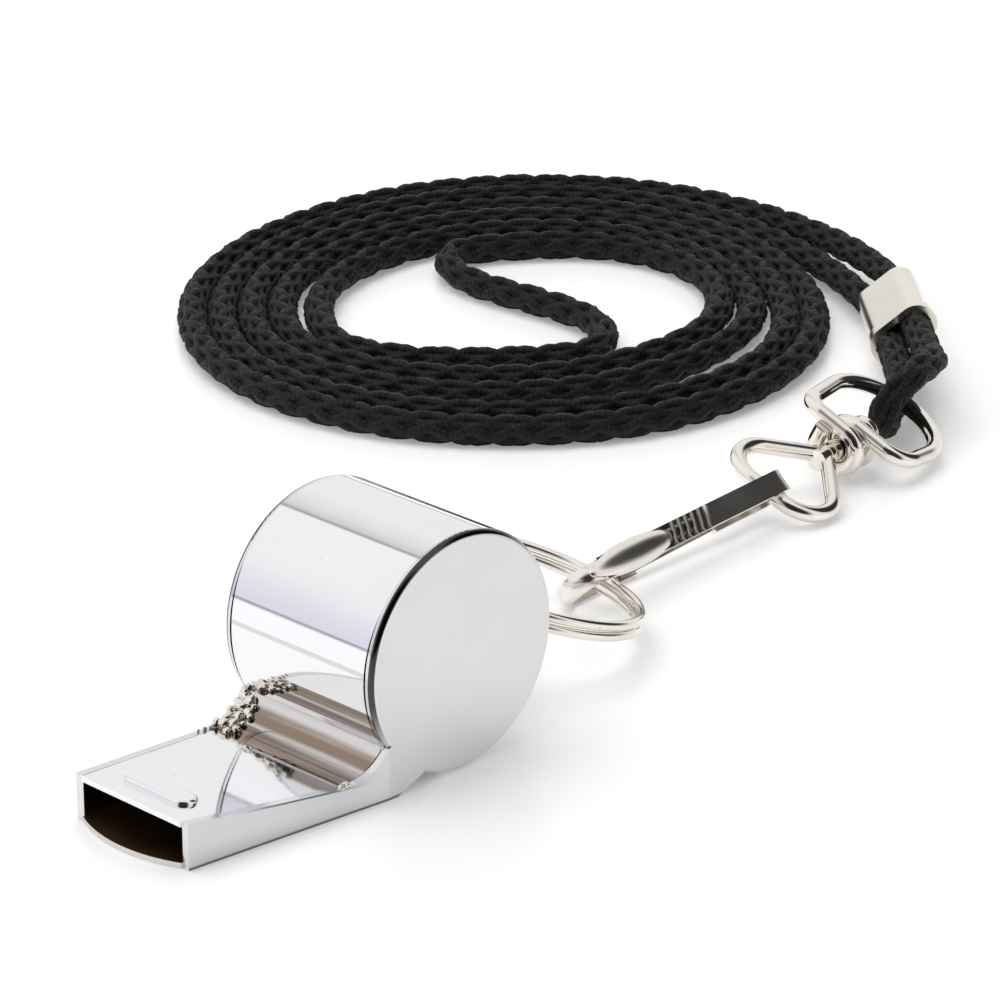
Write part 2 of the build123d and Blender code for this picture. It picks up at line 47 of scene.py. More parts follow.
# camera at the photograph's place
cameraView = {"place": (-0.23726, -0.26660, 0.17328), "azimuth": -45.39, "elevation": 22.18,
              "lens": 166.1, "sensor": 36, "near": 0.01, "far": 20}
cameraData = bpy.data.cameras.new("photoCamera")
cameraData.lens = cameraView["lens"]
cameraData.sensor_width = cameraView["sensor"]
cameraData.clip_start = cameraView["near"]
cameraData.clip_end = cameraView["far"]
cameraObject = bpy.data.objects.new("photoCamera", cameraData)
cameraObject.location = cameraView["place"]
cameraObject.rotation_euler = (
    math.radians(90 - cameraView["elevation"]), 0, math.radians(cameraView["azimuth"]))
collection.objects.link(cameraObject)
scene.camera = cameraObject
scene.view_settings.view_transform = "Standard"


# helpers for node trees
def addNode(tree, kind, **settings):
    node = tree.nodes.new(kind)
    for name, value in settings.items():
        setattr(node, name, value)
    return node


def plug(tree, source, target):
    if hasattr(source, "is_output"):
        tree.links.new(source, target)
    else:
        target.default_value = source


def maths(tree, operation, first, second=None, third=None):
    node = addNode(tree, "ShaderNodeMath", operation=operation)
    for socket, value in zip(node.inputs, (first, second, third)):
        if value is not None:
            plug(tree, value, socket)
    return node.outputs[0]


def vectorMaths(tree, operation, first, second=None, scale=None):
    node = addNode(tree, "ShaderNodeVectorMath", operation=operation)
    plug(tree, first, node.inputs[0])
    if second is not None:
        plug(tree, second, node.inputs[1])
    if scale is not None:
        plug(tree, scale, node.inputs["Scale"])
    return node.outputs["Value" if operation == "DOT_PRODUCT" else "Vector"]


def mapRange(tree, value, source, target=(0.0, 1.0), kind="SMOOTHSTEP"):
    node = addNode(tree, "ShaderNodeMapRange", interpolation_type=kind)
    plug(tree, value, node.inputs["Value"])
    names = ("From Min", "From Max", "To Min", "To Max")
    for name, number in zip(names, (*source, *target)):
        node.inputs[name].default_value = number
    return node.outputs["Result"]


# 1 from low to high, with soft ends
def between(tree, value, low, high, soft):
    rise = mapRange(tree, value, (low - soft, low + soft))
    fall = mapRange(tree, value, (high - soft, high + soft), (1.0, 0.0))
    return maths(tree, "MULTIPLY", rise, fall)


def mixColours(tree, share, first, second):
    node = addNode(tree, "ShaderNodeMix", data_type="RGBA")
    for slot, source in ((0, share), (6, first), (7, second)):
        plug(tree, source, node.inputs[slot])
    return node.outputs[2]


def noise(tree, place, scale, detail=2.0):
    node = addNode(tree, "ShaderNodeTexNoise")
    node.inputs["Scale"].default_value = scale
    node.inputs["Detail"].default_value = detail
    tree.links.new(place, node.inputs["Vector"])
    return node.outputs["Fac"]


def cells(tree, place, scale):
    node = addNode(tree, "ShaderNodeTexVoronoi")
    node.inputs["Scale"].default_value = scale
    tree.links.new(place, node.inputs["Vector"])
    return node.outputs["Distance"]


def surface(tree, kind):
    return addNode(tree, "ShaderNodeTexCoord").outputs[kind]


def apart(tree, vector):
    node = addNode(tree, "ShaderNodeSeparateXYZ")
    tree.links.new(vector, node.inputs["Vector"])
    return node.outputs


def reachOf(tree, across, up):
    squares = maths(tree, "ADD", maths(tree, "MULTIPLY", across, across),
                    maths(tree, "MULTIPLY", up, up))
    return maths(tree, "SQRT", squares)


def newMaterial(name):
    material = bpy.data.materials.new(name)
    material.use_nodes = True
    tree = material.node_tree
    return material, tree, tree.nodes["Principled BSDF"].inputs


def addBump(tree, shader, height, strength, distance):
    bump = addNode(tree, "ShaderNodeBump")
    bump.inputs["Strength"].default_value = strength
    bump.inputs["Distance"].default_value = distance
    tree.links.new(height, bump.inputs["Height"])
    tree.links.new(bump.outputs["Normal"], shader["Normal"])


def newTree(name, inputs):
    tree = bpy.data.node_groups.new(name, "GeometryNodeTree")
    tree.interface.new_socket("Geometry", in_out="OUTPUT", socket_type="NodeSocketGeometry")
    tree.interface.new_socket("Geometry", in_out="INPUT", socket_type="NodeSocketGeometry")
    for label, kind, value in inputs:
        socket = tree.interface.new_socket(label, in_out="INPUT", socket_type="NodeSocket" + kind)
        if value is not None:
            socket.default_value = value
    return tree, addNode(tree, "NodeGroupInput").outputs, addNode(tree, "NodeGroupOutput").inputs


def closeTree(tree, geometry, material, result):
    smooth = addNode(tree, "GeometryNodeSetShadeSmooth")
    tree.links.new(geometry, smooth.inputs["Geometry"])
    real = addNode(tree, "GeometryNodeRealizeInstances")
    tree.links.new(smooth.outputs["Geometry"], real.inputs["Geometry"])
    painted = addNode(tree, "GeometryNodeSetMaterial")
    tree.links.new(real.outputs["Geometry"], painted.inputs["Geometry"])
    tree.links.new(material, painted.inputs["Material"])
    tree.links.new(painted.outputs["Geometry"], result["Geometry"])


def runTree(source, tree, values, name):
    modifier = source.modifiers.new("shape", "NODES")
    modifier.node_group = tree
    for item in tree.interface.items_tree:
        if item.in_out == "INPUT" and item.name in values:
            modifier[item.identifier] = values[item.name]
    graph = bpy.context.evaluated_depsgraph_get()
    mesh = bpy.data.meshes.new_from_object(source.evaluated_get(graph))
    source.modifiers.remove(modifier)
    piece = bpy.data.objects.new(name, mesh)
    collection.objects.link(piece)
    return piece


# cord material: black polyester yarn
cordLook = {"dark": (0.002, 0.002, 0.002, 1), "light": (0.014, 0.0135, 0.013, 1),
            "roughness": 0.62, "sheen": 0.02, "specular": 0.28, "yarnPitch": 0.00055,
            "lintScale": 2600, "lintDetail": 4, "lintShift": 3.0, "bump": 0.5, "bumpDepth": 0.00007}


def braidMaterial(name):
    material, tree, shader = newMaterial(name)
    shader["Roughness"].default_value = cordLook["roughness"]
    shader["Specular IOR Level"].default_value = cordLook["specular"]
    shader["Sheen Weight"].default_value = cordLook["sheen"]
    along = addNode(tree, "ShaderNodeAttribute", attribute_name="strandAlong").outputs["Fac"]
    lint = noise(tree, surface(tree, "Object"), cordLook["lintScale"], cordLook["lintDetail"])
    twist = maths(tree, "MULTIPLY", along, fullTurn / cordLook["yarnPitch"])
    shifted = maths(tree, "MULTIPLY_ADD", lint, cordLook["lintShift"], twist)
    ply = maths(tree, "MULTIPLY_ADD", maths(tree, "SINE", shifted), 0.5, 0.5)
    shade = mixColours(tree, maths(tree, "MULTIPLY", lint, ply), cordLook["dark"], cordLook["light"])
    tree.links.new(shade, shader["Base Color"])
    addBump(tree, shader, maths(tree, "ADD", ply, lint), cordLook["bump"], cordLook["bumpDepth"])
    return material


cordMaterial = braidMaterial("blackBraid")

# braid: strands wound both ways round a core, each in turn over and under
braidSize = {"Lay": 0.0170, "Strand Radius": 0.00060, "Braid Radius": 0.00099,
             "Weave Depth": 0.00017, "Core Radius": 0.00112, "Step": 0.00066}
braidCount = {"strands": 8, "strandSides": 6, "coreSides": 8}


def braidTree():
    tree, size, result = newTree("cordBraid", [
        ("Lay", "Float", 0.015), ("Strand Radius", "Float", 0.0005),
        ("Braid Radius", "Float", 0.0008), ("Weave Depth", "Float", 0.0002),
        ("Core Radius", "Float", 0.0009), ("Step", "Float", 0.0006), ("Material", "Material", None)])
    strands = braidCount["strands"]
    even = addNode(tree, "GeometryNodeResampleCurve", mode="LENGTH")
    tree.links.new(size["Geometry"], even.inputs["Curve"])
    tree.links.new(size["Step"], even.inputs["Length"])
    copies = addNode(tree, "GeometryNodeDuplicateElements", domain="SPLINE")
    tree.links.new(even.outputs["Curve"], copies.inputs["Geometry"])
    copies.inputs["Amount"].default_value = strands
    index = copies.outputs["Duplicate Index"]
    length = addNode(tree, "GeometryNodeSplineParameter").outputs["Length"]
    normal = addNode(tree, "GeometryNodeInputNormal").outputs["Normal"]
    tangent = addNode(tree, "GeometryNodeInputTangent").outputs["Tangent"]
    side = vectorMaths(tree, "CROSS_PRODUCT", tangent, normal)
    # even strands turn one way, odd strands the other
    way = maths(tree, "MULTIPLY_ADD", maths(tree, "MODULO", index, 2.0), -2.0, 1.0)
    turns = maths(tree, "DIVIDE", length, size["Lay"])
    phase = maths(tree, "MULTIPLY", index, fullTurn / strands)
    angle = maths(tree, "MULTIPLY_ADD", maths(tree, "MULTIPLY", turns, way), fullTurn, phase)
    weave = maths(tree, "COSINE", maths(tree, "MULTIPLY", turns, fullTurn * strands / 2))
    lift = maths(tree, "MULTIPLY", maths(tree, "MULTIPLY", weave, way), size["Weave Depth"])
    radius = maths(tree, "ADD", size["Braid Radius"], lift)
    alongNormal = maths(tree, "MULTIPLY", radius, maths(tree, "COSINE", angle))
    alongSide = maths(tree, "MULTIPLY", radius, maths(tree, "SINE", angle))
    moved = addNode(tree, "GeometryNodeSetPosition")
    tree.links.new(copies.outputs["Geometry"], moved.inputs["Geometry"])
    offset = vectorMaths(tree, "ADD", vectorMaths(tree, "SCALE", normal, scale=alongNormal),
                         vectorMaths(tree, "SCALE", side, scale=alongSide))
    tree.links.new(offset, moved.inputs["Offset"])
    marked = addNode(tree, "GeometryNodeStoreNamedAttribute", data_type="FLOAT", domain="POINT")
    marked.inputs["Name"].default_value = "strandAlong"
    tree.links.new(moved.outputs["Geometry"], marked.inputs["Geometry"])
    tree.links.new(length, marked.inputs["Value"])
    joined = addNode(tree, "GeometryNodeJoinGeometry")
    for line, across, sides in (
            (marked.outputs["Geometry"], size["Strand Radius"], braidCount["strandSides"]),
            (even.outputs["Curve"], size["Core Radius"], braidCount["coreSides"])):
        section = addNode(tree, "GeometryNodeCurvePrimitiveCircle")
        section.inputs["Resolution"].default_value = sides
        tree.links.new(across, section.inputs["Radius"])
        tube = addNode(tree, "GeometryNodeCurveToMesh")
        tube.inputs["Fill Caps"].default_value = True
        tree.links.new(line, tube.inputs["Curve"])
        tree.links.new(section.outputs["Curve"], tube.inputs["Profile Curve"])
        tree.links.new(tube.outputs["Mesh"], joined.inputs["Geometry"])
    closeTree(tree, joined.outputs["Geometry"], size["Material"], result)
    return tree


cordBraidTree = braidTree()

# where the cord lies, in the coil's own plan (millimetres): the double spiral, then the short bight
coil = {"place": (103.05, 65.74), "turn": -42.0, "neckExit": (38.62, -1.0, 2.25),
        "clipExit": (37.12, -36.68, 3.86), "order": 3, "fineness": 10}
neckRoute = [
    (38.62, -5.0, 2.25), (36.6, 13.2, 1.9), (17.0, 39.5, 1.6), (-11.8, 39.2, 1.5),
    (-32.8, 16.7, 1.5), (-32.8, -14.2, 1.5), (-14.2, -31.2, 1.5), (11.4, -31.2, 1.5),
    (28.9, -13.0, 1.5), (28.9, 14.0, 1.5), (13.4, 31.2, 1.5), (-9.2, 31.2, 1.5),
    (-26.2, 14.0, 1.5), (-26.2, -9.7, 1.5), (-12.0, -20.9, 1.5), (5.5, -20.5, 1.5),
    (20.9, -7.2, 1.5), (23.0, 10.2, 1.5), (12.5, 22.9, 1.5), (-4.4, 22.0, 1.5),
    (-7.7, 18.5, 1.5), (-6.0, 10.5, 1.5), (6.5, -0.6, 1.6), (9.0, -7.0, 1.6),
    (6.5, -15.0, 1.5), (-12.6, -15.3, 1.5), (-22.2, -8.5, 1.5), (-22.2, 11.7, 1.5),
    (-7.5, 27.0, 1.5), (12.5, 27.0, 1.5), (25.3, 12.2, 1.5), (25.6, -7.5, 1.5),
    (8.5, -25.0, 1.5), (-12.7, -25.8, 1.5), (-29.5, -11.9, 1.5), (-29.5, 15.5, 1.5),
    (-10.7, 35.0, 1.5), (14.9, 35.0, 1.5), (32.0, 15.5, 1.5), (32.0, -14.5, 1.5),
    (12.8, -35.4, 1.5), (-15.5, -35.4, 1.5), (-36.0, -15.3, 1.5), (-36.0, 18.2, 1.5),
    (-13.0, 42.6, 1.6), (17.5, 42.8, 1.8), (40.8, 15.2, 3.0), (41.36, -5.0, 4.5),
]
clipRoute = [
    (41.36, -10.5, 4.5), (41.1, -25.0, 4.6), (40.7, -31.0, 6.5), (37.4, -37.8, 7.6),
    (33.9, -40.2, 4.6), (34.6, -37.4, 1.6), (36.9, -32.4, 3.3), (38.4, -26.0, 2.9),
    (38.62, -10.5, 2.25),
]


def coilPoint(u, v, z):
    turn = math.radians(coil["turn"])
    x = coil["place"][0] + u * math.cos(turn) - v * math.sin(turn)
    y = coil["place"][1] + u * math.sin(turn) + v * math.cos(turn)
    return Vector((x, y, z)) * millimetre


def cordLine(name, route):
    data = bpy.data.curves.new(name, "CURVE")
    data.dimensions = "3D"
    spline = data.splines.new("NURBS")
    spline.points.add(len(route) - 1)
    for point, spot in zip(spline.points, route):
        point.co = (*coilPoint(*spot), 1)
    spline.order_u = coil["order"]
    spline.use_endpoint_u = True
    spline.resolution_u = coil["fineness"]
    line = bpy.data.objects.new(name, data)
    collection.objects.link(line)
    mesh = bpy.data.meshes.new_from_object(line)
    points = [tuple(vertex.co) for vertex in mesh.vertices]
    bpy.data.meshes.remove(mesh)
    return line, points


def pathLength(points):
    return sum((Vector(a) - Vector(b)).length for a, b in zip(points, points[1:]))


def braidedCord(name, route, node):
    line, points = cordLine(name + "Line", route)
    piece = runTree(line, cordBraidTree, {**braidSize, "Material": cordMaterial}, name)
    bpy.data.objects.remove(line)
    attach(piece, "cord")
    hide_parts(node)
    print(name, round(pathLength(points), 4), "m,", len(piece.data.polygons), "faces")
    return piece, points


neckCord, neckPoints = braidedCord("neckCord", neckRoute, "neck_cord")
clipCord, clipPoints = braidedCord("clipCord", clipRoute, "clip_loop")


# plated metal: a soft haze, fine polishing lines and a few pits over a bright surface
plateGrain = {"cloudScale": 160, "cloudDetail": 5, "cloudRange": (0.3, 0.75), "cloudTone": 0.12,
              "lineDetail": 3, "lineStrength": 0.25, "pitScale": 420, "pitRange": (0.03, 0.07),
              "pitTone": 0.45}
# for each finish: colour, roughness and haze, how the lines run, their depth, and the pits
bodyLook = {"colour": (0.91, 0.915, 0.925), "roughness": 0.03, "haze": 0.05,
            "lines": (300, 2500, 300), "depth": 0.000003, "pits": 0.55}
bandLook = {**bodyLook, "colour": (0.90, 0.905, 0.915), "pits": 0.3}
windwayLook = {**bodyLook, "colour": (0.74, 0.72, 0.68), "roughness": 0.30, "haze": 0.12}
# side plates: colour set darker than the body's plating, as a painted darker reflection of the shaded
# table in front
discLook = {"colour": (0.765, 0.765, 0.765), "roughness": 0.07, "haze": 0.06,
            "lines": (1800, 300, 260), "depth": 0.000003, "pits": 0.15}
wireLook = {"colour": (0.90, 0.85, 0.79), "roughness": 0.04, "haze": 0.05,
            "lines": (400, 400, 400), "depth": 0.000003, "pits": 0.55}
hookLook = {"colour": (0.88, 0.84, 0.79), "roughness": 0.18, "haze": 0.10,
            "lines": (900, 300, 900), "depth": 0.000005, "pits": 0.55}
gateLook = {"colour": (0.74, 0.72, 0.68), "roughness": 0.18, "haze": 0.12,
            "lines": (300, 1600, 300), "depth": 0.000004, "pits": 0.55}
ferruleLook = {"colour": (0.89, 0.83, 0.75), "roughness": 0.14, "haze": 0.10,
               "lines": (700, 700, 2200), "depth": 0.000006, "pits": 0.55}
solderLook = {"colour": (0.86, 0.81, 0.74), "roughness": 0.03, "haze": 0.06,
              "lines": (600, 600, 600), "depth": 0.000004, "pits": 0.55}


def plateMaterial(name, look):
    material, tree, shader = newMaterial(name)
    shader["Metallic"].default_value = 1.0
    place = surface(tree, "Object")
    cloud = noise(tree, place, plateGrain["cloudScale"], plateGrain["cloudDetail"])
    spread = (look["roughness"], look["roughness"] + look["haze"])
    dull = mapRange(tree, cloud, plateGrain["cloudRange"], spread, "LINEAR")
    tree.links.new(dull, shader["Roughness"])
    stretched = addNode(tree, "ShaderNodeMapping")
    stretched.inputs["Scale"].default_value = look["lines"]
    tree.links.new(place, stretched.inputs["Vector"])
    lines = noise(tree, stretched.outputs["Vector"], 1.0, plateGrain["lineDetail"])
    addBump(tree, shader, lines, plateGrain["lineStrength"], look["depth"])
    pits = mapRange(tree, cells(tree, place, plateGrain["pitScale"]), plateGrain["pitRange"],
                    (look["pits"], 0.0), "LINEAR")
    darker = [c * plateGrain["pitTone"] for c in look["colour"]]
    share = maths(tree, "MULTIPLY_ADD", cloud, plateGrain["cloudTone"], pits)
    tree.links.new(mixColours(tree, share, (*look["colour"], 1), (*darker, 1)), shader["Base Color"])
    return material


# lays a second colour over the finish where a mask says so
def overlay(material, colour, mask, strength=1.0):
    tree = material.node_tree
    target = tree.nodes["Principled BSDF"].inputs["Base Color"]
    share = maths(tree, "MULTIPLY", mask, strength)
    tree.links.new(mixColours(tree, share, target.links[0].from_socket, (*colour, 1)), target)


def wear(material, *nodes):
    for node in nodes:
        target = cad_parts[node]
        target.data.materials.clear()
        target.data.materials.append(material)


bodyPlate = plateMaterial("bodyPlate", bodyLook)
bandPlate = plateMaterial("bandPlate", bandLook)
windwayPlate = plateMaterial("windwayPlate", windwayLook)
discPlate = plateMaterial("discPlate", discLook)
wirePlate = plateMaterial("wirePlate", wireLook)
hookPlate = plateMaterial("hookPlate", hookLook)
gateSteel = plateMaterial("gateSteel", gateLook)
ferrulePlate = plateMaterial("ferrulePlate", ferruleLook)
solderPlate = plateMaterial("solderPlate", solderLook)

# saddle: streaked brown along the fold where the plating is thin, with two bands at fixed turns round
# it that are painted dark reflections
saddle = {"centre": (0.00583, 0.00752), "radius": 0.005004, "slack": 0.0002, "edge": 0.00003,
          "brown": (0.27, 0.205, 0.16), "firstBand": (-63.0, -45.0), "firstShare": 0.9,
          "secondBand": (-99.0, -69.0), "secondShare": 0.75, "bandEdge": 4.0, "allOver": 0.40,
          "streakRound": 0.11, "streakAlong": 35.0, "streakDetail": 4, "streakGain": (1.5, 0.1)}


def saddleStreaksAndReflections():
    tree = bandPlate.node_tree
    spot = apart(tree, surface(tree, "Object"))
    across = maths(tree, "SUBTRACT", spot["X"], saddle["centre"][0])
    up = maths(tree, "SUBTRACT", spot["Z"], saddle["centre"][1])
    turn = maths(tree, "MULTIPLY", maths(tree, "ARCTAN2", up, across), inDegrees)
    onSaddle = between(tree, reachOf(tree, across, up), saddle["radius"] - saddle["slack"],
                       saddle["radius"] + saddle["slack"], saddle["edge"])
    streakPlace = addNode(tree, "ShaderNodeCombineXYZ")
    plug(tree, maths(tree, "MULTIPLY", turn, saddle["streakRound"]), streakPlace.inputs["X"])
    plug(tree, maths(tree, "MULTIPLY", spot["Y"], saddle["streakAlong"]), streakPlace.inputs["Y"])
    streaks = noise(tree, streakPlace.outputs["Vector"], 1.0, saddle["streakDetail"])
    # the two bands are painted dark reflections of the curved saddle; allOver is the thin plating's
    # own brown
    first = between(tree, turn, *saddle["firstBand"], saddle["bandEdge"])
    second = between(tree, turn, *saddle["secondBand"], saddle["bandEdge"])
    bands = maths(tree, "ADD", maths(tree, "MULTIPLY", first, saddle["firstShare"]),
                  maths(tree, "MULTIPLY", second, saddle["secondShare"]))
    bands = maths(tree, "ADD", bands, saddle["allOver"])
    uneven = maths(tree, "MULTIPLY_ADD", streaks, *saddle["streakGain"])
    brownish = maths(tree, "MULTIPLY", bands, uneven)
    overlay(bandPlate, saddle["brown"], maths(tree, "MULTIPLY", onSaddle, brownish))


saddleStreaksAndReflections()

# mouth: bare brass on the windway's floor and under the sloping plate, by the way the face looks
brass = {"floor": (0.42, 0.27, 0.13), "floorFacing": (0.5, 2.0, 0.1),
         "roof": (0.35, 0.24, 0.13), "roofFacing": (-2.0, -0.9, 0.05)}
for plate, colour, facing in ((windwayPlate, brass["floor"], brass["floorFacing"]),
                              (bodyPlate, brass["roof"], brass["roofFacing"])):
    plateTree = plate.node_tree
    upward = apart(plateTree, surface(plateTree, "Normal"))["Z"]
    overlay(plate, colour, between(plateTree, upward, *facing))

# side plates: a tongue greyed by painted reflection, with a painted contact shadow where it meets the
# table and a dark line where it meets the sloping plate
tongue = {"dark": (0.06, 0.06, 0.065), "strength": 0.85, "foot": 0.00022, "footEdge": 0.0001,
          "front": -0.0111, "height": 0.0043, "slope": -0.1067, "seam": 0.00016, "over": 0.001,
          "seamEdge": 0.00005, "start": -0.0040, "waist": 0.0058, "fade": 0.003,
          "grey": (0.56, 0.57, 0.59), "greyEnd": 0.0075, "greyStrength": 0.75,
          "facing": (0.6, 2.0, 0.1), "outside": -1.0}
# and a painted dark reflection, with painted shade in the groove, round the upper and front part of
# the rolled rim
rim = {"centre": (0.0191, 0.011), "from": 0.01062, "edge": 0.00006, "outside": 1.0,
       "turn": (45.0, 205.0), "fade": 18.0, "facing": (0.16, 0.93, 0.05),
       "black": (0.02, 0.018, 0.017), "strength": 0.92}


def sidePlateLines():
    tree = discPlate.node_tree
    spot = apart(tree, surface(tree, "Object"))
    sideways = maths(tree, "ABSOLUTE", apart(tree, surface(tree, "Normal"))["Y"])
    onFace = between(tree, sideways, *tongue["facing"])
    # painted reflection: the tongue is greyed as if it mirrored the shaded table in front of it
    onTongue = between(tree, spot["X"], tongue["outside"], tongue["greyEnd"], tongue["fade"])
    overlay(discPlate, tongue["grey"], maths(tree, "MULTIPLY", onTongue, onFace),
            tongue["greyStrength"])
    behind = maths(tree, "SUBTRACT", spot["X"], tongue["front"])
    plateEdge = maths(tree, "MULTIPLY_ADD", behind, tongue["slope"], tongue["height"])
    overEdge = maths(tree, "SUBTRACT", spot["Z"], plateEdge)
    seamLine = maths(
        tree, "MULTIPLY",
        between(tree, overEdge, -tongue["seam"], tongue["over"], tongue["seamEdge"]),
        between(tree, spot["X"], tongue["start"], tongue["waist"], tongue["fade"]))
    # painted contact shadow along the tongue's foot where it meets the table, joined with the dark
    # seam line
    footShadow = between(tree, spot["Z"], tongue["outside"], tongue["foot"], tongue["footEdge"])
    seamAndFootShadow = maths(tree, "MULTIPLY", maths(tree, "MAXIMUM", seamLine, footShadow), onFace)
    overlay(discPlate, tongue["dark"], seamAndFootShadow, tongue["strength"])
    # measured backwards, so that the turn runs from 0 to 360 degrees
    back = maths(tree, "SUBTRACT", rim["centre"][0], spot["X"])
    down = maths(tree, "SUBTRACT", rim["centre"][1], spot["Z"])
    turn = maths(tree, "MULTIPLY_ADD", maths(tree, "ARCTAN2", down, back), inDegrees, 180.0)
    onArc = between(tree, turn, *rim["turn"], rim["fade"])
    onFillet = between(tree, sideways, *rim["facing"])
    onRim = between(tree, reachOf(tree, back, down), rim["from"], rim["outside"], rim["edge"])
    # painted dark reflection and groove shade on the upper and front arc of the rim
    rimReflectionAndShade = maths(tree, "MULTIPLY", maths(tree, "MULTIPLY", onRim, onFillet), onArc)
    overlay(discPlate, rim["black"], rimReflectionAndShade, rim["strength"])


sidePlateLines()

# hook: the grip ridges darkened, partly worn plating and partly a painted dark reflection in place of
# their bright ones
gripWearAndReflection = {"from": 0.0617, "to": 0.0684, "fade": 0.0003, "dark": (0.13, 0.12, 0.11), "strength": 0.8}
hookTree = hookPlate.node_tree
alongHook = apart(hookTree, surface(hookTree, "Object"))["X"]
overlay(hookPlate, gripWearAndReflection["dark"], between(hookTree, alongHook, gripWearAndReflection["from"], gripWearAndReflection["to"], gripWearAndReflection["fade"]),
        gripWearAndReflection["strength"])

wear(bandPlate, "barrel_band")
wear(windwayPlate, "windway_plate")
wear(bodyPlate, "mouthpiece_plate", "ring_lug")
wear(discPlate, "left_side_plate", "right_side_plate")
wear(wirePlate, "split_ring", "swivel_loop", "cord_ring")
wear(hookPlate, "hook_body")
wear(gateSteel, "spring_gate")
wear(ferrulePlate, "ferrule")


# solder: lumps (x, y, z, radius in millimetres) that run together where the saddle meets the sides
solderLumps = [
    (10.3, 8.6, 5.4, 0.30), (9.7, 8.4, 4.5, 0.46), (9.4, 7.5, 4.2, 0.44), (9.1, 8.5, 3.8, 0.50),
    (8.8, 7.8, 3.7, 0.46), (8.6, 6.9, 3.5, 0.34), (8.1, 8.5, 3.3, 0.50), (7.9, 7.3, 3.2, 0.46),
    (7.3, 8.1, 3.0, 0.46), (7.0, 6.9, 2.9, 0.42), (6.5, 7.7, 2.8, 0.42), (6.6, 6.2, 2.75, 0.38),
    (6.2, 8.5, 2.8, 0.34), (5.5, 8.5, 2.7, 0.28), (4.8, 8.4, 2.75, 0.22), (4.0, 8.4, 2.8, 0.18),
    (9.2, 6.6, 3.95, 0.28), (7.4, 6.3, 2.95, 0.26), (8.3, 6.3, 3.35, 0.22), (5.8, 6.7, 2.66, 0.30),
    (5.7, -8.5, 2.68, 0.36), (5.2, -8.6, 2.66, 0.30), (5.9, -8.1, 2.66, 0.24),
    (10.2, -8.4, 5.3, 0.34), (10.0, -8.5, 4.8, 0.26),
]
solderSize = {"Fine": 0.00005, "Swell": 1.2, "Crumb Scale": 760.0, "Crumb Height": 0.0008}
solderMelting = 12


def solderTree():
    tree, size, result = newTree("solderLumps", [
        ("Fine", "Float", 0.0001), ("Swell", "Float", 1.0), ("Crumb Scale", "Float", 1000.0),
        ("Crumb Height", "Float", 0.0001), ("Material", "Material", None)])
    own = addNode(tree, "GeometryNodeInputNamedAttribute", data_type="FLOAT")
    own.inputs["Name"].default_value = "lump"
    radius = maths(tree, "MULTIPLY", own.outputs["Attribute"], size["Swell"])
    spots = addNode(tree, "GeometryNodeMeshToPoints")
    tree.links.new(size["Geometry"], spots.inputs["Mesh"])
    tree.links.new(radius, spots.inputs["Radius"])
    cloud = addNode(tree, "GeometryNodePointsToVolume", resolution_mode="VOXEL_SIZE")
    tree.links.new(spots.outputs["Points"], cloud.inputs["Points"])
    tree.links.new(size["Fine"], cloud.inputs["Voxel Size"])
    tree.links.new(radius, cloud.inputs["Radius"])
    skin = addNode(tree, "GeometryNodeVolumeToMesh", resolution_mode="VOXEL_SIZE")
    tree.links.new(cloud.outputs["Volume"], skin.inputs["Volume"])
    tree.links.new(size["Fine"], skin.inputs["Voxel Size"])
    soft = addNode(tree, "GeometryNodeBlurAttribute", data_type="FLOAT_VECTOR")
    position = addNode(tree, "GeometryNodeInputPosition").outputs["Position"]
    tree.links.new(position, soft.inputs["Value"])
    soft.inputs["Iterations"].default_value = solderMelting
    melted = addNode(tree, "GeometryNodeSetPosition")
    tree.links.new(skin.outputs["Mesh"], melted.inputs["Geometry"])
    tree.links.new(soft.outputs["Value"], melted.inputs["Position"])
    crumbs = addNode(tree, "ShaderNodeTexNoise")
    tree.links.new(size["Crumb Scale"], crumbs.inputs["Scale"])
    rise = maths(tree, "MULTIPLY", maths(tree, "SUBTRACT", crumbs.outputs["Fac"], 0.5),
                 size["Crumb Height"])
    outward = addNode(tree, "GeometryNodeInputNormal").outputs["Normal"]
    rough = addNode(tree, "GeometryNodeSetPosition")
    tree.links.new(melted.outputs["Geometry"], rough.inputs["Geometry"])
    tree.links.new(vectorMaths(tree, "SCALE", outward, scale=rise), rough.inputs["Offset"])
    closeTree(tree, rough.outputs["Geometry"], size["Material"], result)
    return tree


def solderRun():
    mesh = bpy.data.meshes.new("solderSpots")
    mesh.from_pydata([Vector(lump[:3]) * millimetre for lump in solderLumps], [], [])
    radius = mesh.attributes.new("lump", "FLOAT", "POINT")
    for item, lump in zip(radius.data, solderLumps):
        item.value = lump[3] * millimetre
    seed = bpy.data.objects.new("solderSpots", mesh)
    collection.objects.link(seed)
    piece = runTree(seed, solderTree(), {**solderSize, "Material": solderPlate}, "solder")
    bpy.data.objects.remove(seed)
    return piece


solder = solderRun()
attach(solder, "whistle")
print("solder", len(solder.data.polygons), "faces")

# cork for the ball in the barrel
cork = {"roughness": 0.85, "grainScale": 900, "grainShare": 0.25, "pitScale": 350, "bump": 1.0,
        "pitDepth": 0.0002, "dark": (0.20, 0.10, 0.045, 1), "darkAt": 0.35,
        "light": (0.55, 0.36, 0.19, 1), "lightAt": 0.6}


